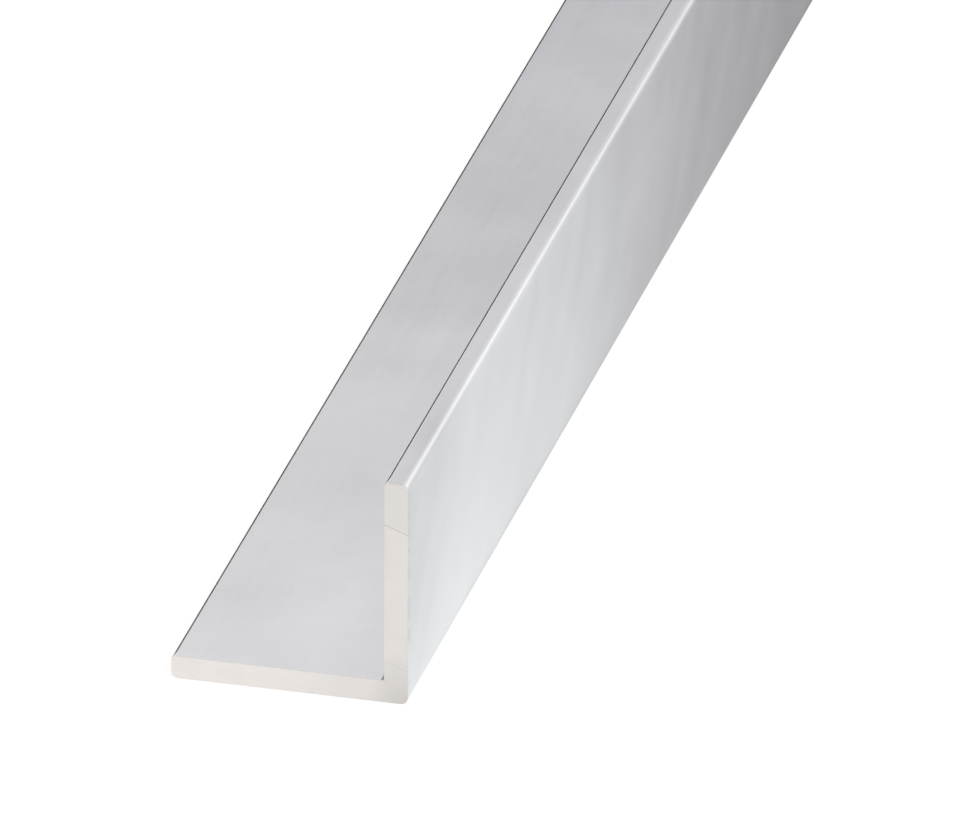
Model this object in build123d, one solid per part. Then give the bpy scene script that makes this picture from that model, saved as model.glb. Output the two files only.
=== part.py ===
from build123d import *

import os

# Equal angle section: one extruded aluminium length, lying on its flat leg.
# Millimetres, +Z up, +Y along the length. The origin is the middle of the
# surface that the angle lies on, half-way along its length.

# Legs, each measured over the back of the other one
flat_leg_width = 20.0
upright_leg_height = 20.0
flat_leg_wall = 2.0
upright_leg_wall = 2.0

# Rounded arrises that run the whole length
heel_radius = 0.6  # outside corner, where the two backs meet
outer_toe_radius = 0.6  # end of each leg, on the back
inner_toe_radius = 0.35  # end of each leg, on the inside of the angle
root_radius = 0.2  # inside corner, where the two legs meet

# Stock length between the two square-sawn ends
bar_length = 1000.0


def rounded(section: Sketch, corner: tuple[float, float], radius: float) -> Sketch:
    """Round the one corner of the section that lies at the given point."""
    vertex = section.vertices().sort_by_distance(corner)[0]
    return fillet(vertex, radius)


def angle_outline() -> Sketch:
    """Draw the L across the length: X across the flat leg, Y up the upright leg."""
    back = flat_leg_width / 2
    toe = back - flat_leg_width
    upright_face = back - upright_leg_wall

    heel = (back, 0)
    upright_outer_toe = (back, upright_leg_height)
    upright_inner_toe = (upright_face, upright_leg_height)
    root = (upright_face, flat_leg_wall)
    flat_inner_toe = (toe, flat_leg_wall)
    flat_outer_toe = (toe, 0)

    section = make_face(
        Polyline(
            heel,
            upright_outer_toe,
            upright_inner_toe,
            root,
            flat_inner_toe,
            flat_outer_toe,
            close=True,
        )
    )
    section = rounded(section, heel, heel_radius)
    section = rounded(section, root, root_radius)
    for outer_toe in (upright_outer_toe, flat_outer_toe):
        section = rounded(section, outer_toe, outer_toe_radius)
    for inner_toe in (upright_inner_toe, flat_inner_toe):
        section = rounded(section, inner_toe, inner_toe_radius)
    return section


def angle_bar() -> Part:
    """Run the section half of the length to each side of the origin."""
    upright_section = Plane.XZ * angle_outline()
    return extrude(upright_section, amount=bar_length / 2, both=True)


os.makedirs("parts", exist_ok=True)
export_step(angle_bar(), "parts/angle_section.step")
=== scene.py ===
"""A length of aluminium angle with its anodised skin, its sawn ends and a plain white studio."""

import logging
import math
import random
from collections.abc import Callable
from dataclasses import dataclass
from enum import Enum, IntEnum
from functools import reduce

import bmesh
import bpy
from mathutils import Euler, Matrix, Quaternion, Vector


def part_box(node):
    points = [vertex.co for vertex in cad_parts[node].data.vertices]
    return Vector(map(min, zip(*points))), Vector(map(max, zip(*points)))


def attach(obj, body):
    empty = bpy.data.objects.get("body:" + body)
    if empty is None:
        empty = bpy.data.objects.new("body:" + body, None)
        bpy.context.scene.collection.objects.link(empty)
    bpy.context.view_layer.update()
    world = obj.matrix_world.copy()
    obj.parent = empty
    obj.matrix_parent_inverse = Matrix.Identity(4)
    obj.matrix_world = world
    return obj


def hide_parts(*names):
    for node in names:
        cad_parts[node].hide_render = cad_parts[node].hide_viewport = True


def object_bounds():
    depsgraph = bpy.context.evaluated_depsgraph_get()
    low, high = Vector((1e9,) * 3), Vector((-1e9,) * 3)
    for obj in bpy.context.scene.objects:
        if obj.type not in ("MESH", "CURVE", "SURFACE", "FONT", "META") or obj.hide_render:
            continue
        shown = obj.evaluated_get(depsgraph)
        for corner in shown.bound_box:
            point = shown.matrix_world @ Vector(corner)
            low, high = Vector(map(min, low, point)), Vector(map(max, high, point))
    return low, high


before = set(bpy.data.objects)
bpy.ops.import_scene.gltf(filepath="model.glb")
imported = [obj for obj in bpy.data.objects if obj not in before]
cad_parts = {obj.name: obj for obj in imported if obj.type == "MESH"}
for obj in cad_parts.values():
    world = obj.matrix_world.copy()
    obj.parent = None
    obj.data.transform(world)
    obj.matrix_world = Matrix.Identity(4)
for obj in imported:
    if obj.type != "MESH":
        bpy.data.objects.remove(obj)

MM = 0.001
NODE = "angle_section"
PIECE = "angle_section_dressed"
BODY = "root"
MAP_NAME = "OFBake"
CAD_LOW, CAD_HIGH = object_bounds()

Colour = tuple[float, float, float]
Place = tuple[float, float, float]
Pair = tuple[float, float]
Test = Callable[[object], bool]
Socket = bpy.types.NodeSocket
Sockets = bpy.types.NodeOutputs

ORIGIN: Place = (0.0, 0.0, 0.0)
ACROSS: Place = (1.0, 0.0, 0.0)
ALONG: Place = (0.0, 1.0, 0.0)
UP: Place = (0.0, 0.0, 1.0)

# The part of its full range that a noise mostly fills.
NOISE_RANGE = (0.25, 0.75)

log = logging.getLogger("angle")


class Skin(IntEnum):
    """Material slots of the angle's mesh."""

    DRAWN = 0
    SAWN = 1


class Element(Enum):
    """Kinds of mesh element, by the edit mesh's names for them."""

    VERT = "verts"
    EDGE = "edges"
    FACE = "faces"


class End(Enum):
    """The two sawn ends, by the way that their outward normals point along Y."""

    NEAR = -1
    FAR = 1


# ---- node trees


@dataclass
class NodeSheet:
    """Adds nodes to one node tree and joins them.

    Attributes:
        tree: Node tree of a material, a world or a group.
    """

    tree: bpy.types.NodeTree

    def add(self, kind: str, *sources: object, **values: object) -> bpy.types.Node:
        """Add a node.

        Args:
            kind: The node's type, without "ShaderNode" in front.
            sources: Nodes, sockets or plain values for its inputs, in their order.
            values: Its properties, and more of its inputs by name with underscores for spaces. The
                names of inputs start with a capital.

        Returns:
            The new node.
        """
        node = self.tree.nodes.new(f"ShaderNode{kind}")
        for name, value in values.items():
            if name[0].islower():
                setattr(node, name, value)
            else:
                self.set(node.inputs[name.replace("_", " ")], value)
        for socket, source in zip(node.inputs, sources):
            self.set(socket, source)
        return node

    def set(self, socket: Socket, source: object) -> None:
        """Link a source to a node's input, or give the input a plain value.

        Args:
            socket: The input.
            source: A node, whose first output counts, a socket, a number, a vector or a colour.
        """
        if isinstance(source, bpy.types.Node):
            source = source.outputs[0]
        if isinstance(source, Socket):
            self.tree.links.new(source, socket)
        else:
            socket.default_value = (*source, 1.0) if socket.type == "RGBA" else source

    def maths(self, operation: str, *terms: object, clamp: bool = False) -> Socket:
        """Add a Math node and give its result, held between 0 and 1 if it is clamped."""
        return self.add("Math", *terms, operation=operation, use_clamp=clamp).outputs[0]

    def vectors(self, operation: str, *terms: object, gives: str = "Vector") -> Socket:
        """Add a Vector Math node and give the output that is named."""
        return self.add("VectorMath", *terms, operation=operation).outputs[gives]

    def dot(self, vector: object, direction: object) -> Socket:
        """Measure a vector along a direction."""
        return self.vectors("DOT_PRODUCT", vector, direction, gives="Value")

    def fold(self, operation: str, *terms: object) -> Socket:
        """Join any number of terms by one operation."""
        return reduce(lambda first, second: self.maths(operation, first, second), terms)

    def total(self, *terms: object) -> Socket:
        """Add up any number of terms."""
        return self.fold("ADD", *terms)

    def smooth(self, value: object, low: object, high: object, ends: Pair = (0.0, 1.0)) -> Socket:
        """Map the range from low to high smoothly onto its ends, and hold what lies outside."""
        return self.add("MapRange", value, low, high, *ends, interpolation_type="SMOOTHSTEP").outputs[0]

    def spread(self, value: object, swing: object) -> Socket:
        """Turn a pattern from 0 to 1 into one round zero, from -swing/2 to swing/2."""
        return self.maths("MULTIPLY", self.maths("SUBTRACT", value, 0.5), swing)

    def blend(self, share: object, first: object, second: object) -> Socket:
        """Mix two colours.

        Args:
            share: How much of the second shows, from 0 to 1.
            first: The colour at share 0.
            second: The colour at share 1.

        Returns:
            The mixed colour.
        """
        node = self.add("Mix", share, data_type="RGBA")
        colours = (socket for socket in node.inputs if socket.type == "RGBA")
        for socket, source in zip(colours, (first, second)):
            self.set(socket, source)
        return next(socket for socket in node.outputs if socket.type == "RGBA")

    def mix(self, share: object, first: object, second: object) -> Socket:
        """Mix two values, from all the first at share 0 to all the second at share 1."""
        return self.maths("MULTIPLY_ADD", share, self.maths("SUBTRACT", second, first), first)

    def place(self) -> Socket:
        """Give the surface's place in the bar's own frame, in metres."""
        return self.add("TexCoord").outputs["Object"]

    def seen_directly(self) -> Socket:
        """Tell camera, glossy and transmission rays from the others.

        Returns:
            1 for them, and 0 for the others.
        """
        path = self.add("LightPath").outputs
        rays = ("Camera", "Glossy", "Transmission")
        return self.fold("MAXIMUM", *(path[f"Is {ray} Ray"] for ray in rays))


def blank_tree(owner: bpy.types.Material | bpy.types.World) -> NodeSheet:
    """Empty the node tree of a material or world.

    Args:
        owner: The material or world.

    Returns:
        The sheet that fills it anew.
    """
    owner.use_nodes = True
    owner.node_tree.nodes.clear()
    return NodeSheet(owner.node_tree)


# ---- effects that finishes share


@dataclass(frozen=True)
class Effect:
    """A shader node group that more than one finish places with its own values.

    Attributes:
        name: The group's name.
        inputs: Its inputs' names and default values. Three numbers make a vector.
    """

    name: str
    inputs: dict[str, object]

    def wire(self, sheet: NodeSheet, given: Sockets) -> dict[str, object]:
        """Build the effect between its inputs and outputs.

        Args:
            sheet: The group's own tree.
            given: The group's inputs.

        Returns:
            The source of each output, which is a plain value.
        """
        raise NotImplementedError

    def group(self) -> bpy.types.ShaderNodeTree:
        """Give the node group, made the first time that it is asked for.

        Returns:
            The group.
        """
        made = bpy.data.node_groups.get(self.name)
        if made:
            return made
        made = bpy.data.node_groups.new(self.name, "ShaderNodeTree")
        for name, value in self.inputs.items():
            kind = "NodeSocketFloat" if isinstance(value, float) else "NodeSocketVector"
            socket = made.interface.new_socket(name, in_out="INPUT", socket_type=kind)
            socket.default_value = value
        sheet = NodeSheet(made)
        sources = self.wire(sheet, made.nodes.new("NodeGroupInput").outputs)
        for name in sources:
            made.interface.new_socket(name, in_out="OUTPUT", socket_type="NodeSocketFloat")
        result = made.nodes.new("NodeGroupOutput").inputs
        for name, source in sources.items():
            sheet.set(result[name], source)
        return made

    def apply(self, sheet: NodeSheet, **values: object) -> Sockets:
        """Place the effect in a material, with its inputs by name."""
        return sheet.add("Group", node_tree=self.group(), **values).outputs


class FineLines(Effect):
    """Long parallel lines, as a die or a saw tooth leaves them."""

    def wire(self, sheet: NodeSheet, given: Sockets) -> dict[str, object]:
        """Stretch a noise along the lines.

        Args:
            sheet: The group's own tree.
            given: The group's inputs.

        Returns:
            The source of each output.
        """
        across = sheet.maths("DIVIDE", sheet.dot(given["Position"], given["Across"]), given["Spacing"])
        along = sheet.maths("DIVIDE", sheet.dot(given["Position"], given["Along"]), given["Run"])
        flat = sheet.add("CombineXYZ", across, along, given["Seed"])
        noise = sheet.add("TexNoise", flat, Scale=1.0, Detail=given["Detail"], Roughness=0.6)
        return {"Lines": sheet.smooth(noise, *NOISE_RANGE)}


class Clouds(Effect):
    """Soft patches of no set direction, as in an etched or handled surface."""

    def wire(self, sheet: NodeSheet, given: Sockets) -> dict[str, object]:
        """Scale a noise to the size of the patches.

        Args:
            sheet: The group's own tree.
            given: The group's inputs.

        Returns:
            The source of each output.
        """
        place = sheet.vectors("DIVIDE", given["Position"], given["Size"])
        noise = sheet.add("TexNoise", place, noise_dimensions="4D", Scale=1.0, Detail=2.5, Roughness=0.55)
        sheet.set(noise.inputs["W"], given["Seed"])
        return {"Clouds": sheet.smooth(noise, *NOISE_RANGE)}


class EdgeWear(Effect):
    """Wear that is strongest on an edge and fades unevenly away from it."""

    SHORTEST = 0.4
    SWING = 1.2

    def wire(self, sheet: NodeSheet, given: Sockets) -> dict[str, object]:
        """Fade with the distance from the edge, pushed in and out by a noise.

        Args:
            sheet: The group's own tree.
            given: The group's inputs.

        Returns:
            The source of each output.
        """
        place = sheet.vectors("DIVIDE", given["Position"], given["Patch"])
        noise = sheet.add("TexNoise", place, Scale=1.0, Detail=3.0, Roughness=0.6)
        ragged = sheet.maths("MULTIPLY_ADD", noise, self.SWING, self.SHORTEST)
        reach = sheet.maths("MULTIPLY", given["Reach"], ragged)
        return {"Wear": sheet.smooth(given["Distance"], 0.0, reach, (1.0, 0.0))}


FINE_LINES = FineLines(
    "fine_lines",
    dict(Position=ORIGIN, Across=ACROSS, Along=ALONG, Spacing=0.4 * MM, Run=0.2, Detail=2.0, Seed=0.0),
)
CLOUDS = Clouds("soft_clouds", dict(Position=ORIGIN, Size=6 * MM, Seed=0.0))
EDGE_WEAR = EdgeWear("edge_wear", dict(Position=ORIGIN, Distance=0.0, Reach=0.5 * MM, Patch=3 * MM))


@dataclass(frozen=True)
class SectionMap(Effect):
    """Tells how far a place on the bar is from its arrises, its heel and its root, and what lies outside.

    Attributes:
        arrises: X and Z of the sharp corners that the arrises round off, with the heel first.
        root: X and Z of the inside corner.
        skin_depth: How far under the upright leg's outer face a place still counts as on it.
    """

    arrises: tuple[Pair, ...] = ()
    root: Pair = (0.0, 0.0)
    skin_depth: float = 0.5 * MM

    def wire(self, sheet: NodeSheet, given: Sockets) -> dict[str, object]:
        """Measure to each corner in the section.

        Args:
            sheet: The group's own tree.
            given: The group's inputs.

        Returns:
            The source of each output.
        """
        place = given["Position"]
        flat = sheet.vectors("MULTIPLY", place, (1.0, 0.0, 1.0))
        heel, *others, root = (
            sheet.vectors("DISTANCE", flat, (x, 0.0, z), gives="Value")
            for x, z in (*self.arrises, self.root)
        )
        nearest = sheet.fold("MINIMUM", heel, *others)
        outer_face = self.arrises[0][0]
        outside = sheet.smooth(sheet.dot(place, ACROSS), outer_face - self.skin_depth, outer_face)
        return {"Arris": nearest, "Heel": heel, "Root": root, "Outside": outside}


@dataclass(frozen=True)
class Smudge:
    """A soft mark that handling left on the skin.

    Attributes:
        place: Its middle, in metres.
        reach: How far it fades out along X, Y and Z.
        tone: What it adds to the surface's tone in its middle.
    """

    place: Place
    reach: Place
    tone: float

    def strength(self, sheet: NodeSheet, place: Socket) -> Socket:
        """Give what the mark adds to the tone."""
        away = sheet.vectors("DIVIDE", sheet.vectors("SUBTRACT", place, self.place), self.reach)
        return sheet.smooth(sheet.vectors("LENGTH", away, gives="Value"), 0.0, 1.0, (self.tone, 0.0))


# ---- finishes


@dataclass(frozen=True)
class Pattern:
    """One use of a shared effect on a finish.

    Attributes:
        effect: The shared effect.
        values: Its inputs other than the place, by name.
        tone: How far the surface's tone swings with it.
        rough: How far the roughness does, or for wear and smears, what they add to it.
        relief: Its height, in metres.
        share: How much of its own colour shows.
    """

    effect: Effect
    values: dict[str, object]
    tone: float = 0.0
    rough: float = 0.0
    relief: float = 0.0
    share: float = 1.0

    def lay(self, sheet: NodeSheet, place: Socket, **more: object) -> Socket:
        """Draw the pattern, from 0 to 1, with any further inputs of the effect."""
        return self.effect.apply(sheet, Position=place, **self.values, **more)[0]


def close_metal(sheet: NodeSheet, colour: object, rough: object, height: object) -> None:
    """Add a metal's shader with its bump, and the material's output.

    Args:
        sheet: The material's tree.
        colour: Base colour.
        rough: Roughness.
        height: Relief, in metres.
    """
    bump = sheet.add("Bump", Strength=1.0, Distance=1.0, Height=height)
    shader = sheet.add("BsdfPrincipled", colour, Metallic=1.0, Roughness=rough, Normal=bump)
    sheet.add("OutputMaterial", shader)


# The directions of rubs that slant over the outer face.
SLANTING = {"Across": (0.0, -0.78, 0.62), "Along": (0.0, 0.62, 0.78)}


@dataclass(frozen=True)
class DrawnSkin:
    """Satin clear anodising over the fine lines that the die leaves.

    Attributes:
        section: Measures places on the bar.
        smudges: Soft handling marks.
        colour: Base colour of the metal under its clear skin.
        worn_colour: Base colour where the skin is rubbed thin.
        root_shade: Base colour of the painted shade in the root, a dark line where the legs meet.
        root_shade_fade: From where to where that painted shade fades, from the root's corner.
        roughness: Of the skin in general.
        lines: The die's plain lines.
        hair: Its finest lines.
        draws: Its broad, weak bands, on all faces but the outer one.
        rubs: Slanting rubs on the outer face.
        strokes: Finer ones.
        patches: Large patches of handling.
        mottle: Small ones.
        outer_mottle: How far the tone of the small ones swings on the outer face.
        wear: The rubbed arrises.
    """

    section: SectionMap
    smudges: tuple[Smudge, ...] = ()
    colour: Colour = (0.795, 0.80, 0.815)
    worn_colour: Colour = (0.86, 0.865, 0.87)
    # Painted shade in the root corner, drawn into the base colour.
    root_shade: Colour = (0.20, 0.20, 0.21)
    root_shade_fade: Pair = (0.10 * MM, 0.42 * MM)
    roughness: float = 0.22
    lines: Pattern = Pattern(
        FINE_LINES,
        dict(Spacing=0.55 * MM, Run=180 * MM, Across=(1.0, 0.0, 0.83)),
        tone=0.018,
        rough=0.03,
        relief=0.0004 * MM,
    )
    hair: Pattern = Pattern(
        FINE_LINES,
        dict(Spacing=0.16 * MM, Run=60 * MM, Across=(0.9, 0.0, 1.0), Seed=4.0),
        tone=0.012,
        relief=0.00018 * MM,
    )
    draws: Pattern = Pattern(
        FINE_LINES, dict(Spacing=1.9 * MM, Run=30 * MM, Across=(1.0, 0.0, 0.9), Seed=6.0), tone=0.028
    )
    rubs: Pattern = Pattern(
        FINE_LINES, dict(SLANTING, Spacing=5.6 * MM, Run=30 * MM, Detail=1.0, Seed=9.0), tone=0.066
    )
    strokes: Pattern = Pattern(
        FINE_LINES, dict(SLANTING, Spacing=1.5 * MM, Run=13 * MM, Seed=2.0), tone=0.006
    )
    patches: Pattern = Pattern(CLOUDS, dict(Size=9 * MM), tone=0.056, rough=0.05)
    mottle: Pattern = Pattern(CLOUDS, dict(Size=2.6 * MM, Seed=3.0), tone=0.02)
    outer_mottle: float = 0.01
    wear: Pattern = Pattern(EDGE_WEAR, dict(Reach=0.45 * MM, Patch=4 * MM), rough=-0.07, share=0.6)

    def material(self) -> bpy.types.Material:
        """Make the skin's material.

        Returns:
            The material.
        """
        material = bpy.data.materials.new("anodised_skin")
        sheet = blank_tree(material)
        place = sheet.place()
        where = self.section.apply(sheet, Position=place)
        lines, hair, draws, rubs, strokes = (
            pattern.lay(sheet, place)
            for pattern in (self.lines, self.hair, self.draws, self.rubs, self.strokes)
        )
        patches = self.patches.lay(sheet, place)
        mottle = self.mottle.lay(sheet, place)
        wear = self.wear.lay(sheet, place, Distance=where["Arris"])
        handled = sheet.mix(
            where["Outside"],
            sheet.spread(draws, self.draws.tone),
            sheet.total(sheet.spread(rubs, self.rubs.tone), sheet.spread(strokes, self.strokes.tone)),
        )
        mottled = sheet.mix(where["Outside"], self.mottle.tone, self.outer_mottle)
        tone = sheet.total(
            1.0,
            handled,
            sheet.spread(lines, self.lines.tone),
            sheet.spread(hair, self.hair.tone),
            sheet.spread(patches, self.patches.tone),
            sheet.spread(mottle, mottled),
            *(smudge.strength(sheet, place) for smudge in self.smudges),
        )
        worn_share = sheet.maths("MULTIPLY", wear, self.wear.share)
        worn = sheet.blend(worn_share, sheet.vectors("MULTIPLY", self.colour, tone), self.worn_colour)
        # Painted shade: the base colour darkens towards the root corner, where the legs meet.
        root_shade_fade = sheet.smooth(where["Root"], *self.root_shade_fade, (1.0, 0.0))
        colour = sheet.blend(root_shade_fade, worn, self.root_shade)
        rough = sheet.total(
            self.roughness,
            handled,
            sheet.spread(patches, self.patches.rough),
            sheet.spread(lines, self.lines.rough),
            sheet.maths("MULTIPLY", wear, self.wear.rough),
        )
        height = sheet.total(
            sheet.maths("MULTIPLY", lines, self.lines.relief),
            sheet.maths("MULTIPLY", hair, self.hair.relief),
        )
        close_metal(sheet, colour, rough, height)
        return material


# ---- the cut

# The saw lines fall towards the upright leg at this angle.
SAW_LEAN = math.atan(0.385)
SAW_ACROSS: Place = (math.sin(SAW_LEAN), 0.0, math.cos(SAW_LEAN))
SAW_ALONG: Place = (math.cos(SAW_LEAN), 0.0, -math.sin(SAW_LEAN))


@dataclass(frozen=True)
class SawCut:
    """What the saw leaves on one end.

    Attributes:
        end: Which end it is on.
        seed: Start of the random spacings and depths.
        spacing: From one saw line to the next, on average.
        unevenness: The largest share by which that varies.
        depth: How deep a line can lie.
        steps: Heights at the inside of the upright leg where the cut steps, from the top down.
        step_depth: How far each zone lies behind the one above it.
        step_width: Height of a step's own narrow face.
    """

    end: End
    seed: int
    spacing: float = 0.4 * MM
    unevenness: float = 0.4
    depth: float = 0.006 * MM
    steps: tuple[float, ...] = (16.2 * MM, 3.8 * MM)
    step_depth: float = 0.02 * MM
    step_width: float = 0.02 * MM

    def step_lines(self, inside_x: float) -> list[float]:
        """Give where the steps lie across the saw lines, from the X of the upright leg's inside."""
        return [Vector(SAW_ACROSS).dot(Vector((inside_x, 0, height))) for height in self.steps]

    def lines(self, start: float, finish: float) -> list[Pair]:
        """Choose the saw lines.

        Args:
            start: Where the section starts across the lines.
            finish: Where it ends.

        Returns:
            Each line's place and depth.
        """
        rng = random.Random(self.seed)
        chosen = []
        place = start + self.spacing
        while place < finish:
            chosen.append((place, rng.uniform(0.0, self.depth)))
            place += self.spacing * rng.uniform(1 - self.unevenness, 1 + self.unevenness)
        return chosen


@dataclass(frozen=True)
class SawnMetal:
    """Bare aluminium, where the saw went through the bar.

    Attributes:
        section: Measures places on the bar.
        cuts: The relief of the two ends.
        inside_x: X of the upright leg's inside.
        colour: Base colour of the bare metal.
        dull_colour: Base colour where the cut has dulled.
        worn_colour: Base colour of the deburred rim.
        smear_colour: Base colour of the dirt that the saw dragged out over the heel.
        step_shade_colour: Base colour of the painted shade in the thin line along each step.
        dull_from: X from which the flat leg's cut grows dull towards the upright leg.
        dull_shares: How dull it is up to there, and at the upright leg.
        dull_patches: How far the dulling swings from patch to patch.
        dull_top: How much duller the zone above the first step is.
        roughness: Of the cut in general.
        lines: The saw's fine lines.
        patches: Uneven places.
        wear: The deburred rim.
        smear: The smear round the heel.
        step_line: From where to where a step's line of painted shade fades, from its middle.
        line_fading: How much weaker the second step's painted shade is than the first's.
    """

    section: SectionMap
    cuts: tuple[SawCut, ...]
    inside_x: float
    colour: Colour = (0.82, 0.785, 0.758)
    dull_colour: Colour = (0.735, 0.705, 0.682)
    worn_colour: Colour = (0.85, 0.83, 0.81)
    smear_colour: Colour = (0.65, 0.625, 0.605)
    # Painted shade along the steps of the cut, drawn into the base colour.
    step_shade_colour: Colour = (0.42, 0.39, 0.37)
    dull_from: float = -3 * MM
    dull_shares: Pair = (0.05, 0.75)
    dull_patches: float = 0.5
    dull_top: float = 0.45
    roughness: float = 0.40
    lines: Pattern = Pattern(
        FINE_LINES,
        dict(Spacing=0.30 * MM, Run=30 * MM, Across=SAW_ACROSS, Along=SAW_ALONG, Seed=1.0),
        tone=0.03,
        rough=0.06,
        relief=0.0015 * MM,
    )
    patches: Pattern = Pattern(CLOUDS, dict(Size=2.6 * MM, Seed=5.0), tone=0.03, rough=0.06)
    wear: Pattern = Pattern(EDGE_WEAR, dict(Reach=0.3 * MM, Patch=2 * MM), share=0.2)
    smear: Pattern = Pattern(EDGE_WEAR, dict(Reach=4.6 * MM, Patch=5 * MM), rough=0.1)
    step_line: Pair = (0.014 * MM, 0.035 * MM)
    line_fading: float = 0.7

    def step_shade_and_zone(self, sheet: NodeSheet, place: Socket) -> tuple[Socket, Socket]:
        """Find the steps' lines and the zone above the first of them.

        Args:
            sheet: The material's tree.
            place: The surface's place.

        Returns:
            The mask of the steps' painted shade, and the zone's.
        """
        over = sheet.dot(place, SAW_ACROSS)
        marks = zone = 0.0
        for cut in self.cuts:
            here = sheet.maths("GREATER_THAN", sheet.dot(place, (0.0, cut.end.value, 0.0)), 0.0)
            steps = cut.step_lines(self.inside_x)
            for order, step in enumerate(steps):
                off = sheet.maths("ABSOLUTE", sheet.maths("SUBTRACT", over, step - cut.step_width / 2))
                # Painted shade: a dark line along each step, weaker at the second.
                line = sheet.smooth(off, *self.step_line, (1 - self.line_fading * order, 0.0))
                marks = sheet.maths("MULTIPLY_ADD", line, here, marks)
            above = sheet.smooth(over, steps[0] - cut.step_width, steps[0])
            zone = sheet.maths("MULTIPLY_ADD", above, here, zone)
        return marks, zone

    def material(self) -> bpy.types.Material:
        """Make the cut's material.

        Returns:
            The material.
        """
        material = bpy.data.materials.new("sawn_aluminium")
        sheet = blank_tree(material)
        place = sheet.place()
        where = self.section.apply(sheet, Position=place)
        lines = self.lines.lay(sheet, place)
        patches = self.patches.lay(sheet, place)
        wear = self.wear.lay(sheet, place, Distance=where["Arris"])
        smear = self.smear.lay(sheet, place, Distance=where["Heel"])
        marks, top_zone = self.step_shade_and_zone(sheet, place)
        dull = sheet.total(
            sheet.smooth(sheet.dot(place, ACROSS), self.dull_from, self.inside_x, self.dull_shares),
            sheet.spread(patches, self.dull_patches),
            sheet.maths("MULTIPLY", top_zone, self.dull_top),
        )
        tone = sheet.total(
            1.0, sheet.spread(lines, self.lines.tone), sheet.spread(patches, self.patches.tone)
        )
        metal = sheet.blend(dull, self.colour, self.dull_colour)
        smeared = sheet.blend(smear, metal, self.smear_colour)
        # Painted shade: the steps' lines darken the base colour.
        marked = sheet.blend(marks, sheet.vectors("MULTIPLY", smeared, tone), self.step_shade_colour)
        worn_share = sheet.maths("MULTIPLY", wear, self.wear.share)
        colour = sheet.blend(worn_share, marked, self.worn_colour)
        rough = sheet.total(
            self.roughness,
            sheet.spread(patches, self.patches.rough),
            sheet.spread(lines, self.lines.rough),
            sheet.maths("MULTIPLY", smear, self.smear.rough),
        )
        close_metal(sheet, colour, rough, sheet.maths("MULTIPLY", lines, self.lines.relief))
        return material


# ---- the section


@dataclass(frozen=True)
class SectionOutline:
    """A section's sharp corners, in order, joined by level and upright sides.

    Attributes:
        corners: X and Z of each corner.
    """

    corners: tuple[Pair, ...]

    @property
    def girth(self) -> float:
        """The way round all sides."""
        return self.way_to(len(self.corners))

    def corner(self, index: int) -> Vector:
        """Give a corner, counting on past the last."""
        return Vector(self.corners[index % len(self.corners)])

    def way_to(self, index: int) -> float:
        """Measure from the first corner round to another."""
        return sum((self.corner(i + 1) - self.corner(i)).length for i in range(index))

    def off_side(self, index: int, place: Vector) -> float:
        """Measure from a place to the side that starts at a corner."""
        side = zip(self.corner(index), self.corner(index + 1))
        return math.hypot(*(max(min(a, b) - p, p - max(a, b), 0.0) for (a, b), p in zip(side, place)))

    def way_round(self, x: float, z: float) -> float:
        """Measure how far round the section a place on its rounded outline lies.

        Args:
            x: Across the flat leg.
            z: Above the underside.

        Returns:
            The way from the first corner, a little under 0 close before it.
        """
        place = Vector((x, z))
        side = min(range(len(self.corners)), key=lambda i: self.off_side(i, place))
        ahead = (place - self.corner(side + 1)).length < (place - self.corner(side)).length
        index = side + ahead
        before, here, after = (self.corner(index + step) for step in (-1, 0, 1))
        heading = (here - before).normalized() + (after - here).normalized()
        return self.way_to(index) % self.girth + (place - here).dot(heading)


@dataclass(frozen=True)
class MapLayout:
    """Where the bar's surfaces lie on its flat map, in shares of the map's side.

    Attributes:
        half_length: From the bar's middle to a sawn end.
        girth: The way round the section.
        margin: Free space beside each strip.
        strip_height: Height of a strip, which the girth fills.
        end_size: Side of the square round a sawn end.
        end_middles: Where the near and the far end lie along the map.
    """

    half_length: float
    girth: float
    margin: float = 0.004
    strip_height: float = 0.415
    end_size: float = 0.14
    end_middles: Pair = (0.25, 0.75)

    def on_skin(self, side: int, from_middle: float, way: float) -> Pair:
        """Place a point of the skin.

        Args:
            side: The direction along Y of its half of the length.
            from_middle: From the bar's middle along it.
            way: Round the section.

        Returns:
            The point on the map.
        """
        strip = self.margin + (side > 0) * (self.strip_height + 3 * self.margin)
        share = from_middle / self.half_length
        along = share if side > 0 else 1 - share
        return (
            self.margin + along * (1 - 2 * self.margin),
            strip + self.margin + way / self.girth * self.strip_height,
        )

    def on_end(self, side: int, x: float, z: float) -> Pair:
        """Place a point of a sawn end.

        Args:
            side: The end's direction along Y.
            x: Across the flat leg, from its middle.
            z: Above the underside.

        Returns:
            The point on the map.
        """
        leg = self.girth / 4
        return (
            self.end_middles[side > 0] - side * x / leg * self.end_size,
            1 - self.margin - self.end_size + z / leg * self.end_size,
        )


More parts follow.
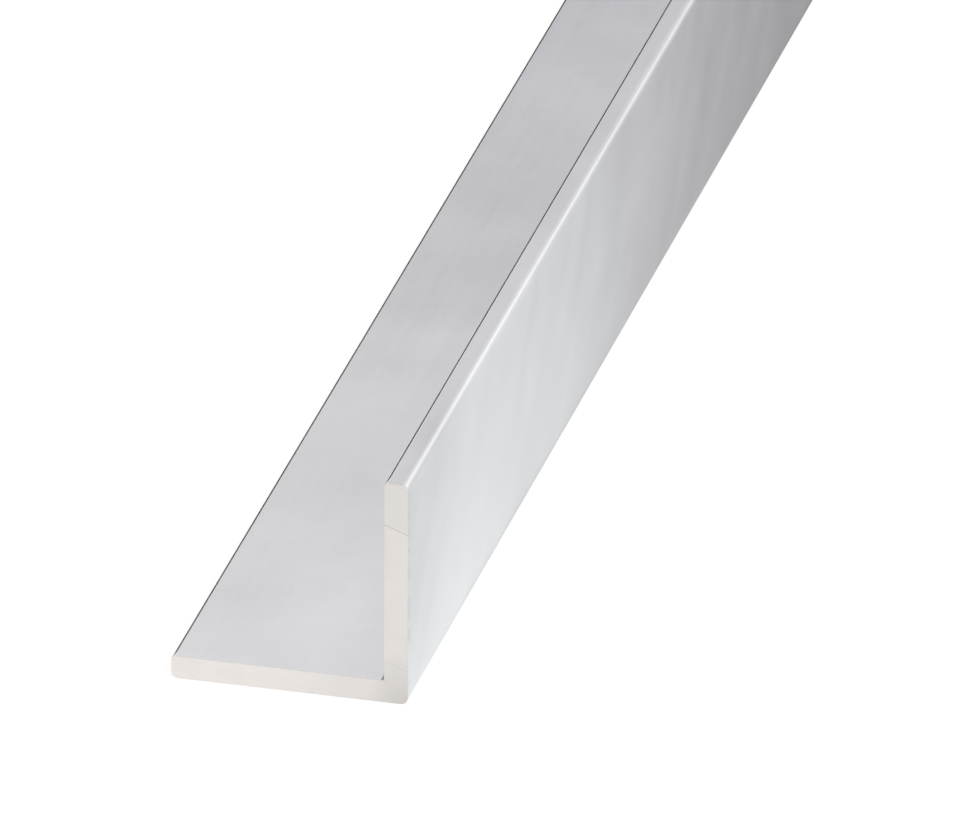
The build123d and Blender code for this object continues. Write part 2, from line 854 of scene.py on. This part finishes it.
# Handling marks near the near end: on the upright leg's toe and outer face, then on the flat leg.
SMUDGES = (
    Smudge((0.009, -0.4875, 0.020), (0.003, 0.007, 0.002), -0.045),
    Smudge((0.009, -0.4650, 0.020), (0.003, 0.014, 0.002), 0.045),
    Smudge((0.010, -0.4890, 0.018), (0.002, 0.008, 0.006), -0.065),
    Smudge((0.010, -0.4980, 0.013), (0.002, 0.012, 0.014), -0.080),
    Smudge((0.010, -0.4230, 0.002), (0.002, 0.026, 0.006), -0.070),
    Smudge((0.010, -0.4320, 0.007), (0.002, 0.015, 0.004), -0.040),
    Smudge((0.010, -0.4600, 0.011), (0.002, 0.014, 0.006), 0.025),
    Smudge((0.010, -0.4175, 0.008), (0.002, 0.012, 0.007), -0.040),
    Smudge((-0.004, -0.3690, 0.002), (0.012, 0.005, 0.002), -0.045),
    Smudge((0.001, -0.3870, 0.002), (0.014, 0.010, 0.002), 0.035),
    Smudge((-0.006, -0.4070, 0.002), (0.010, 0.010, 0.002), -0.040),
    Smudge((-0.005, -0.4245, 0.002), (0.013, 0.012, 0.002), -0.060),
    Smudge((-0.002, -0.4370, 0.002), (0.010, 0.005, 0.002), 0.025),
    Smudge((-0.008, -0.4490, 0.002), (0.007, 0.008, 0.002), 0.035),
    Smudge((-0.001, -0.4650, 0.002), (0.014, 0.009, 0.002), -0.045),
    Smudge((-0.008, -0.4870, 0.002), (0.005, 0.013, 0.002), -0.040),
    Smudge((0.001, -0.4900, 0.002), (0.006, 0.012, 0.002), 0.045),
)


# How near to a corner, an end, a cut or a saw line something lies that counts as on it.
CORNER_REACH = 0.02 * MM
FLUSH = 0.001 * MM
CUT_REACH = 0.002 * MM
LINE_REACH = 0.005 * MM

# A normal's part along an axis that counts as facing that way, and as turned towards it.
FACING = 0.9
TURNED = 0.1

# Faces at less than this angle to each other are one, in degrees.
LEVEL_WITHIN = 1.0

# How strongly large faces bend the shading of small ones beside them.
FACE_WEIGHT = 100


def add_primitive(add: Callable[..., object], name: str, size: Place, **how: object) -> bpy.types.Object:
    """Add a cube or plane at its size and place, with its object left at the origin.

    Args:
        add: The operator that adds it.
        name: Name of the object and of its mesh.
        size: Its sides, in metres.
        how: The operator's own values.

    Returns:
        The object, which is active and the only one selected.
    """
    bpy.ops.object.select_all(action="DESELECT")
    add(size=1.0, **how)
    made = bpy.context.active_object
    made.name = made.data.name = name
    made.scale = size
    bpy.ops.object.transform_apply(location=True, rotation=True, scale=True)
    return made


@dataclass
class AngleSection:
    """One length of equal angle, lying on its flat leg with the other leg upright.

    Attributes:
        low: Lowest corner of the length's box, in metres.
        high: Highest corner of the box.
        wall: Thickness of both legs.
        outer_radius: Rounding of the heel and of both outer toe arrises.
        inner_radius: Rounding of both inner toe arrises.
        root_radius: Fillet between the legs.
        rim: Width of the deburred edge round each sawn end.
        end_zone: How far from an end the fine cuts of its rim reach.
        outer_facets: Facets of the outer roundings.
        inner_facets: Facets of the inner toe arrises.
        root_facets: Facets of the fillet.
        rim_facets: Facets of the deburred edge.
        smooth_under: Faces that meet at less than this shade smoothly, in degrees.
        cuts: The relief of the two ends.
    """

    low: Vector
    high: Vector
    wall: float = 2.0 * MM
    outer_radius: float = 0.6 * MM
    inner_radius: float = 0.35 * MM
    root_radius: float = 0.2 * MM
    rim: float = 0.03 * MM
    end_zone: float = 1.2 * MM
    outer_facets: int = 10
    inner_facets: int = 6
    root_facets: int = 5
    rim_facets: int = 2
    smooth_under: float = 32.0
    cuts: tuple[SawCut, ...] = (SawCut(End.NEAR, 3), SawCut(End.FAR, 8, steps=(12.0 * MM, 6.5 * MM)))

    @property
    def root(self) -> Pair:
        """X of the upright leg's inside and Z of the flat leg's."""
        return self.high.x - self.wall, self.low.z + self.wall

    @property
    def corners(self) -> tuple[Pair, ...]:
        """The section's sharp corners, from the flat leg's toe by the heel and back.

        Returns:
            X and Z of each.
        """
        (left, _, bottom), (right, _, top), (inside_x, inside_z) = self.low, self.high, self.root
        outer = (left, bottom), (right, bottom), (right, top)
        return *outer, (inside_x, top), self.root, (left, inside_z)

    @property
    def end_reach(self) -> float:
        """How far from an end the points of its face can lie."""
        return 4 * self.rim

    def pick(self, kind: Element, test: Test) -> int:
        """Select the edit mesh's elements that pass a test, and nothing else.

        Args:
            kind: What is selected.
            test: Whether an element of that kind is.

        Returns:
            How many are.
        """
        bpy.ops.mesh.select_mode(type=kind.name)
        bpy.ops.mesh.select_all(action="DESELECT")
        data = bpy.context.active_object.data
        mesh = bmesh.from_edit_mesh(data)
        found = [element for element in getattr(mesh, kind.value) if test(element)]
        for element in found:
            element.select_set(True)
        mesh.select_flush_mode()
        bmesh.update_edit_mesh(data)
        return len(found)

    def round_off(self, width: float, facets: int) -> None:
        """Round the selected edges."""
        bpy.ops.mesh.bevel(offset=width, segments=facets, profile=0.5, affect="EDGES")

    def rough_out(self) -> bpy.types.Object:
        """Add the flat leg as a block and pull the upright leg up out of it.

        Returns:
            The bar, in edit mode.
        """
        inside_x, inside_z = self.root
        middle = (self.low + self.high) / 2
        bar = add_primitive(
            bpy.ops.mesh.primitive_cube_add,
            PIECE,
            (self.high.x - self.low.x, self.high.y - self.low.y, self.wall),
            location=(middle.x, middle.y, (self.low.z + inside_z) / 2),
        )
        bpy.ops.object.mode_set(mode="EDIT")
        self.cut_through((inside_x, 0, 0), ACROSS)
        self.pick(Element.FACE, lambda f: f.normal.z > FACING and f.calc_center_median().x > inside_x)
        bpy.ops.mesh.extrude_region_move(TRANSFORM_OT_translate={"value": (0, 0, self.high.z - inside_z)})
        bpy.ops.mesh.select_all(action="SELECT")
        bpy.ops.mesh.dissolve_limited(angle_limit=math.radians(LEVEL_WITHIN))
        return bar

    def round_edges(self, corners: tuple[Pair, ...], radius: float, facets: int) -> None:
        """Round the lengthwise edges at some corners of the section.

        Args:
            corners: X and Z of each edge.
            radius: The rounding.
            facets: The rounding's facets.
        """
        self.pick(
            Element.EDGE,
            lambda edge: any(
                all(math.hypot(v.co.x - x, v.co.z - z) < CORNER_REACH for v in edge.verts)
                for x, z in corners
            ),
        )
        self.round_off(radius, facets)

    def cut_across(self, zone: Test, place: Vector, normal: Place) -> None:
        """Cut the faces of a zone with a plane, given by a point of it and its normal."""
        if self.pick(Element.FACE, zone):
            bpy.ops.mesh.bisect(plane_co=place, plane_no=normal, threshold=CUT_REACH)

    def cut_through(self, place: Place, normal: Place) -> None:
        """Cut the whole bar with a plane, given by a point of it and its normal."""
        bpy.ops.mesh.select_all(action="SELECT")
        bpy.ops.mesh.bisect(plane_co=place, plane_no=normal)

    def push_back(self, side: int, distance: float, test: Test) -> None:
        """Move the points of an end's face that pass a test some distance into the bar."""
        if self.pick(Element.VERT, lambda v: side * v.co.y > self.high.y - self.end_reach and test(v)):
            bpy.ops.transform.translate(value=(0, -side * distance, 0))

    def trim_end(self, cut: SawCut) -> None:
        """Deburr one end's rim and cut the saw's lines and steps into it.

        Args:
            cut: The relief of that end.
        """
        side = cut.end.value
        end_y = side * self.high.y
        zone_y = end_y - side * self.end_zone
        across = Vector(SAW_ACROSS)
        self.cut_through((0, zone_y, 0), ALONG)
        self.pick(Element.EDGE, lambda edge: all(abs(v.co.y - end_y) < FLUSH for v in edge.verts))
        self.round_off(self.rim, self.rim_facets)

        def in_zone(face: bmesh.types.BMFace) -> bool:
            """Tell whether a face is near this end."""
            return side * (face.calc_center_median().y - zone_y) > 0

        steps = cut.step_lines(self.root[0])
        start = across.dot(Vector((self.low.x, 0, self.low.z)))
        finish = across.dot(Vector((self.high.x, 0, self.high.z)))
        lines = [
            (place, depth)
            for place, depth in cut.lines(start, finish)
            if all(abs(place - step) > cut.spacing / 3 for step in steps)
        ]
        step_edges = [edge for step in steps for edge in (step, step - cut.step_width)]
        for place in [place for place, _ in lines] + step_edges:
            self.cut_across(in_zone, across * place, SAW_ACROSS)
        self.pick(Element.VERT, lambda v: side * (v.co.y - zone_y) > -FLUSH)
        bpy.ops.mesh.remove_doubles(threshold=LINE_REACH)
        for place, depth in lines:
            self.push_back(side, depth, lambda v: abs(across.dot(v.co) - place) < LINE_REACH)
        for step in steps:
            lower_edge = step - cut.step_width / 2
            self.push_back(side, cut.step_depth, lambda v: across.dot(v.co) < lower_edge)

    def put_in_order(self) -> None:
        """Number the points, edges and faces by where they are.

        The cutting tools number them differently each time, and the shading's last digits follow.
        """
        data = bpy.context.active_object.data
        mesh = bmesh.from_edit_mesh(data)
        for elements, key in (
            (mesh.verts, lambda v: v.co[:]),
            (mesh.edges, lambda edge: sorted(v.index for v in edge.verts)),
            (mesh.faces, lambda face: sorted(v.index for v in face.verts)),
        ):
            ranks = {element: rank for rank, element in enumerate(sorted(elements, key=key))}
            elements.sort(key=ranks.get)
            elements.index_update()
        bmesh.update_edit_mesh(data)

    def lay_out_map(self, bar: bpy.types.Object) -> None:
        """Lay the skin out flat as two strips, one for each half of the length, and the ends beside them.

        Args:
            bar: The bar, in object mode, cut across at the middle of its length.
        """
        outline = SectionOutline(self.corners)
        layout = MapLayout(self.high.y, outline.girth)
        data = bar.data
        places = data.uv_layers.new(name=MAP_NAME).data
        for face in data.polygons:
            side = 1 if face.center.y > 0 else -1
            sawn = face.material_index == Skin.SAWN
            centre_way = outline.way_round(face.center.x, face.center.z)
            for loop in face.loop_indices:
                x, y, z = data.vertices[data.loops[loop].vertex_index].co
                if sawn:
                    places[loop].uv = layout.on_end(side, x, z)
                    continue
                way = outline.way_round(x, z)
                lap = round((way - centre_way) / layout.girth)
                places[loop].uv = layout.on_skin(side, abs(y), way - lap * layout.girth)

    def build(self) -> bpy.types.Object:
        """Model the length and dress it.

        Returns:
            The finished piece.
        """
        toe, heel, top, inner_top, root, inner_toe = self.corners
        bar = self.rough_out()
        self.round_edges((heel, toe, top), self.outer_radius, self.outer_facets)
        self.round_edges((inner_toe, inner_top), self.inner_radius, self.inner_facets)
        self.round_edges((root,), self.root_radius, self.root_facets)
        self.cut_through(ORIGIN, ALONG)
        for cut in self.cuts:
            self.trim_end(cut)
        self.put_in_order()
        bpy.ops.object.mode_set(mode="OBJECT")
        section = SectionMap(
            "section_map",
            dict(Position=ORIGIN),
            arrises=(heel, toe, top, inner_toe, inner_top),
            root=root,
        )
        bar.data.materials.append(DrawnSkin(section, smudges=SMUDGES).material())
        bar.data.materials.append(SawnMetal(section, self.cuts, root[0]).material())
        trimmed = self.high.y - self.end_reach
        for polygon in bar.data.polygons:
            sawn = abs(polygon.center.y) > trimmed and abs(polygon.normal.y) > TURNED
            polygon.material_index = Skin.SAWN if sawn else Skin.DRAWN
        self.lay_out_map(bar)
        bpy.ops.object.shade_smooth_by_angle(angle=math.radians(self.smooth_under))
        bpy.ops.object.modifier_add(type="WEIGHTED_NORMAL")
        bar.modifiers[-1].keep_sharp = True
        bar.modifiers[-1].weight = FACE_WEIGHT
        bpy.ops.object.modifier_apply(modifier=bar.modifiers[-1].name)
        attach(bar, BODY)
        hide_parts(NODE)
        return bar


# ---- studio


@dataclass(frozen=True)
class Viewpoint:
    """A long lens, far from the bar's near end and a little above it.

    Attributes:
        aim: Point in the middle of the picture, in metres.
        azimuth: Turn from looking along +Y towards looking along -X, in degrees.
        elevation: Height above the horizon, in degrees.
        roll: Turn about the line of sight, in degrees.
        distance: From the aim point to the lens, in metres.
        focal_length: In millimetres.
        sensor_width: In millimetres.
    """

    aim: Place = (0.01644, -0.5, 0.02785)
    azimuth: float = 14.191
    elevation: float = 25.834
    roll: float = 0.22
    distance: float = 2.243
    focal_length: float = 1024.35
    sensor_width: float = 36.0

    def build(self) -> None:
        """Set up the camera and make it the scene's own."""
        lens = bpy.data.cameras.new("long_lens")
        lens.sensor_width = self.sensor_width
        lens.lens = self.focal_length
        camera = bpy.data.objects.new("camera", lens)
        bpy.context.scene.collection.objects.link(camera)
        turn = Euler((math.radians(90 - self.elevation), 0, math.radians(self.azimuth))).to_quaternion()
        camera.rotation_mode = "QUATERNION"
        camera.rotation_quaternion = turn @ Quaternion(UP, math.radians(self.roll))
        camera.location = Vector(self.aim) + self.distance * (turn @ Vector(UP))
        bpy.context.scene.camera = camera


@dataclass(frozen=True)
class Grading:
    """How a card's brightness changes along one direction.

    Attributes:
        axis: The direction.
        stops: The brightness at each of some distances along it, in metres.
    """

    axis: Place
    stops: dict[float, float]

    def strength(self, sheet: NodeSheet) -> Socket:
        """Add the nodes that grade a card's material.

        Args:
            sheet: The material's tree.

        Returns:
            The brightness.
        """
        first, *_, last = self.stops
        peak = max(self.stops.values())
        along = sheet.dot(sheet.place(), self.axis)
        share = sheet.maths("DIVIDE", sheet.maths("SUBTRACT", along, first), last - first, clamp=True)
        ramp = sheet.add("ValToRGB", share)
        elements = ramp.color_ramp.elements
        while len(elements) < len(self.stops):
            elements.new(0.5)
        for element, (place, brightness) in zip(elements, self.stops.items()):
            element.position = (place - first) / (last - first)
            element.color = (*(brightness / peak,) * 3, 1.0)
        return sheet.maths("MULTIPLY", ramp, peak)


# The brightness at which a card has all of its dim tint, and all of its bright one.
DIM = 0.5
BRIGHT = 0.8


@dataclass(frozen=True)
class ReflectionCard:
    """A flat card that only the metal's reflections see.

    Attributes:
        name: What the card is for.
        centre: Its middle, in metres.
        size: Its two sides, in metres.
        brightness: Its general brightness.
        gradings: How that changes over it.
        turn: Its turn about X, Y and Z from lying flat, in degrees.
        tints: Colours of its dim and of its bright places, if it isn't white.
        one_sided: Whether nothing is seen of it from behind.
    """

    name: str
    centre: Place
    size: Pair
    brightness: float = 1.0
    gradings: tuple[Grading, ...] = ()
    turn: Place = (0.0, 0.0, 0.0)
    tints: tuple[Colour, ...] = ()
    one_sided: bool = False

    def material(self) -> bpy.types.Material:
        """Make the card's graded glow.

        Returns:
            The material.
        """
        material = bpy.data.materials.new(self.name)
        sheet = blank_tree(material)
        strength = self.brightness
        for grading in self.gradings:
            strength = sheet.maths("MULTIPLY", strength, grading.strength(sheet))
        surface = sheet.add("Emission", Strength=strength)
        if self.tints:
            tint = sheet.blend(sheet.smooth(strength, DIM, BRIGHT), *self.tints)
            sheet.set(surface.inputs["Color"], tint)
        if self.one_sided:
            behind = sheet.add("NewGeometry").outputs["Backfacing"]
            surface = sheet.add("MixShader", behind, surface, sheet.add("BsdfTransparent"))
        sheet.add("OutputMaterial", surface)
        return material

    def build(self) -> None:
        """Set the card up in its place."""
        card = add_primitive(
            bpy.ops.mesh.primitive_plane_add,
            self.name,
            (*self.size, 1.0),
            location=self.centre,
            rotation=[math.radians(angle) for angle in self.turn],
        )
        card.data.materials.append(self.material())
        for ray in ("camera", "diffuse", "shadow", "transmission"):
            setattr(card, f"visible_{ray}", False)


# Tints of the cards, for their dim and for their bright places.
COOL: tuple[Colour, ...] = ((1.025, 1.0, 1.056), (1.013, 1.0, 1.010))
SEA: tuple[Colour, ...] = ((1.016, 1.0, 1.026), (0.984, 1.0, 1.004))

CARDS = (
    ReflectionCard(
        "flat_leg_card",
        centre=(-0.03825, -0.21, 0.06), size=(0.0435, 0.52), brightness=0.975,
        gradings=(
            Grading(ALONG, {
                -0.42: 0.93, -0.38: 0.87, -0.335: 0.79, -0.31: 0.70, -0.27: 0.68, -0.24: 0.62,
                -0.14: 0.62, 0.05: 0.95,
            }),
        ),
        tints=COOL,
    ),
    ReflectionCard(
        "toe_card",
        centre=(0.003, -0.21, 0.06), size=(0.039, 0.52), brightness=0.985,
        gradings=(
            Grading(ALONG, {-0.42: 0.74, -0.35: 0.70, -0.28: 0.65, -0.18: 0.65, 0.05: 0.90}),
            Grading(ACROSS, {-0.0045: 1.0, 0.005: 1.07, 0.0122: 1.15, 0.0225: 1.22}),
        ),
        tints=COOL,
    ),
    ReflectionCard(
        "right_card",
        centre=(0.1, 0.1, 0.1601), size=(0.32, 2.0),
        gradings=(
            Grading((0, 1, -1), {-0.344: 1.0, -0.326: 0.965, -0.308: 0.895, -0.289: 0.84, -0.24: 0.78}),
            Grading(UP, {
                0.001: 0.92, 0.0245: 1.0, 0.0473: 1.08, 0.0759: 1.21, 0.1095: 1.10, 0.169: 0.95,
                0.31: 0.88,
            }),
        ),
        turn=(0, 90, 0),
    ),
    ReflectionCard(
        "end_flag",
        centre=(-0.2937, 0.0, 0.0466), size=(0.25, 0.26), brightness=0.03,
        turn=(90, 30.5, 0),
        one_sided=True,
    ),
    ReflectionCard(
        "toe_floor_flag",
        centre=(-0.02275, -0.37, 0.00005), size=(0.0245, 0.26),
        gradings=(Grading(ALONG, {-0.5: 0.2, -0.30: 0.2, -0.24: 0.9}),),
    ),
    ReflectionCard(
        "left_floor_flag",
        centre=(-0.20, -0.21, 0.00005), size=(0.32, 0.42), brightness=0.03,
    ),
    # Two strips on the floor beside the heel, graded along the bar: painted light and shade of the floor,
    # which only the metal's reflections see.
    ReflectionCard(
        "right_floor_card",
        centre=(0.01515, 0.15, 0.00005), size=(0.0107, 1.3),
        gradings=(
            Grading((-4.4, 1.0, 0.0), {
                -0.5463: 1.03, -0.5263: 1.05, -0.5063: 0.90, -0.4863: 0.79, -0.4663: 0.62,
                -0.4463: 0.495, -0.4163: 0.415, -0.3763: 0.345, -0.2763: 0.345, -0.1263: 0.90,
            }),
            Grading((1.0, -0.07, 0.0), {0.040: 1.0, 0.044: 0.94, 0.047: 0.87, 0.050: 0.80}),
        ),
        tints=SEA,
    ),
    ReflectionCard(
        "toe_floor_card",
        centre=(0.06025, 0.15, 0.00005), size=(0.0795, 1.3),
        gradings=(
            Grading((-1.5, 1.0, 0.0), {
                -0.4845: 1.02, -0.4545: 1.04, -0.4365: 0.91, -0.4185: 0.80, -0.3995: 0.735,
                -0.36: 0.635, -0.26: 0.635, -0.10: 0.92,
            }),
            Grading(ACROSS, {0.0205: 0.79, 0.025: 0.80, 0.0406: 0.83, 0.084: 0.90, 0.1: 0.92}),
        ),
        tints=SEA,
    ),
    # A thin strip along the heel's contact line, darkest mid-length: a painted contact shadow that only
    # the metal's reflections see.
    ReflectionCard(
        "contact_card",
        centre=(0.0101, 0.0, 0.00006), size=(0.0007, 1.0),
        gradings=(Grading(ALONG, {-0.5: 1.0, -0.44: 0.70, -0.36: 0.34, -0.25: 0.34, -0.1: 0.9}),),
        tints=SEA,
    ),
)


@dataclass(frozen=True)
class Studio:
    """A white floor and room with soft, even light.

    Attributes:
        half_width: From the floor's middle to its edge, in metres.
        floor_albedo: How much light the floor scatters.
        floor_glow: What is added where the floor is seen, so that it is white.
        sky: Strength of the room's light.
        lamp_strength: Strength of the one broad lamp.
        lamp_spread: Its angle, in degrees.
        lamp_turn: The lamp's turn about X, Y and Z, in degrees.
        cards: What the metal reflects beside floor and room.
    """

    half_width: float = 12.0
    floor_albedo: float = 0.30
    floor_glow: float = 0.80
    sky: float = 0.75
    lamp_strength: float = 0.9
    lamp_spread: float = 60.0
    lamp_turn: Place = (30.0, 35.0, 0.0)
    cards: tuple[ReflectionCard, ...] = CARDS

    def floor(self) -> None:
        """Lay the white floor that the bar lies on."""
        floor = add_primitive(
            bpy.ops.mesh.primitive_plane_add,
            "floor",
            (2 * self.half_width, 2 * self.half_width, 1.0),
            location=(0, 0, CAD_LOW.z),
        )
        material = bpy.data.materials.new("white_floor")
        sheet = blank_tree(material)
        paint = sheet.add("BsdfDiffuse", (self.floor_albedo,) * 3)
        glow = sheet.maths("MULTIPLY", sheet.seen_directly(), self.floor_glow)
        both = sheet.add("AddShader", paint, sheet.add("Emission", Strength=glow))
        sheet.add("OutputMaterial", both)
        floor.data.materials.append(material)

    def room(self) -> None:
        """Surround the set with even light that looks white."""
        world = bpy.data.worlds.new("white_room")
        sheet = blank_tree(world)
        strength = sheet.smooth(sheet.seen_directly(), 0.0, 1.0, (self.sky, 1.0))
        sheet.add("OutputWorld", sheet.add("Background", Strength=strength))
        bpy.context.scene.world = world

    def lamp(self) -> None:
        """Hang one very broad lamp in front of the bar, to its right."""
        light = bpy.data.lights.new("broad_lamp", "SUN")
        light.energy = self.lamp_strength
        light.angle = math.radians(self.lamp_spread)
        lamp = bpy.data.objects.new("broad_lamp", light)
        bpy.context.scene.collection.objects.link(lamp)
        lamp.rotation_euler = Euler([math.radians(angle) for angle in self.lamp_turn])
        lamp.visible_glossy = False

    def build(self) -> None:
        """Set up the floor, the room, the lamp and the cards."""
        bpy.context.scene.view_settings.view_transform = "Standard"
        self.floor()
        self.room()
        self.lamp()
        for card in self.cards:
            card.build()


# ---- main


def main() -> None:
    """Build the studio, the camera and the bar, and report the bar."""
    logging.basicConfig(level=logging.INFO, format="%(name)s: %(message)s")
    Studio().build()
    Viewpoint().build()
    bar = AngleSection(*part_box(NODE)).build()
    log.info("%s: %d faces", bar.name, len(bar.data.polygons))


if __name__ == "__main__":
    main()
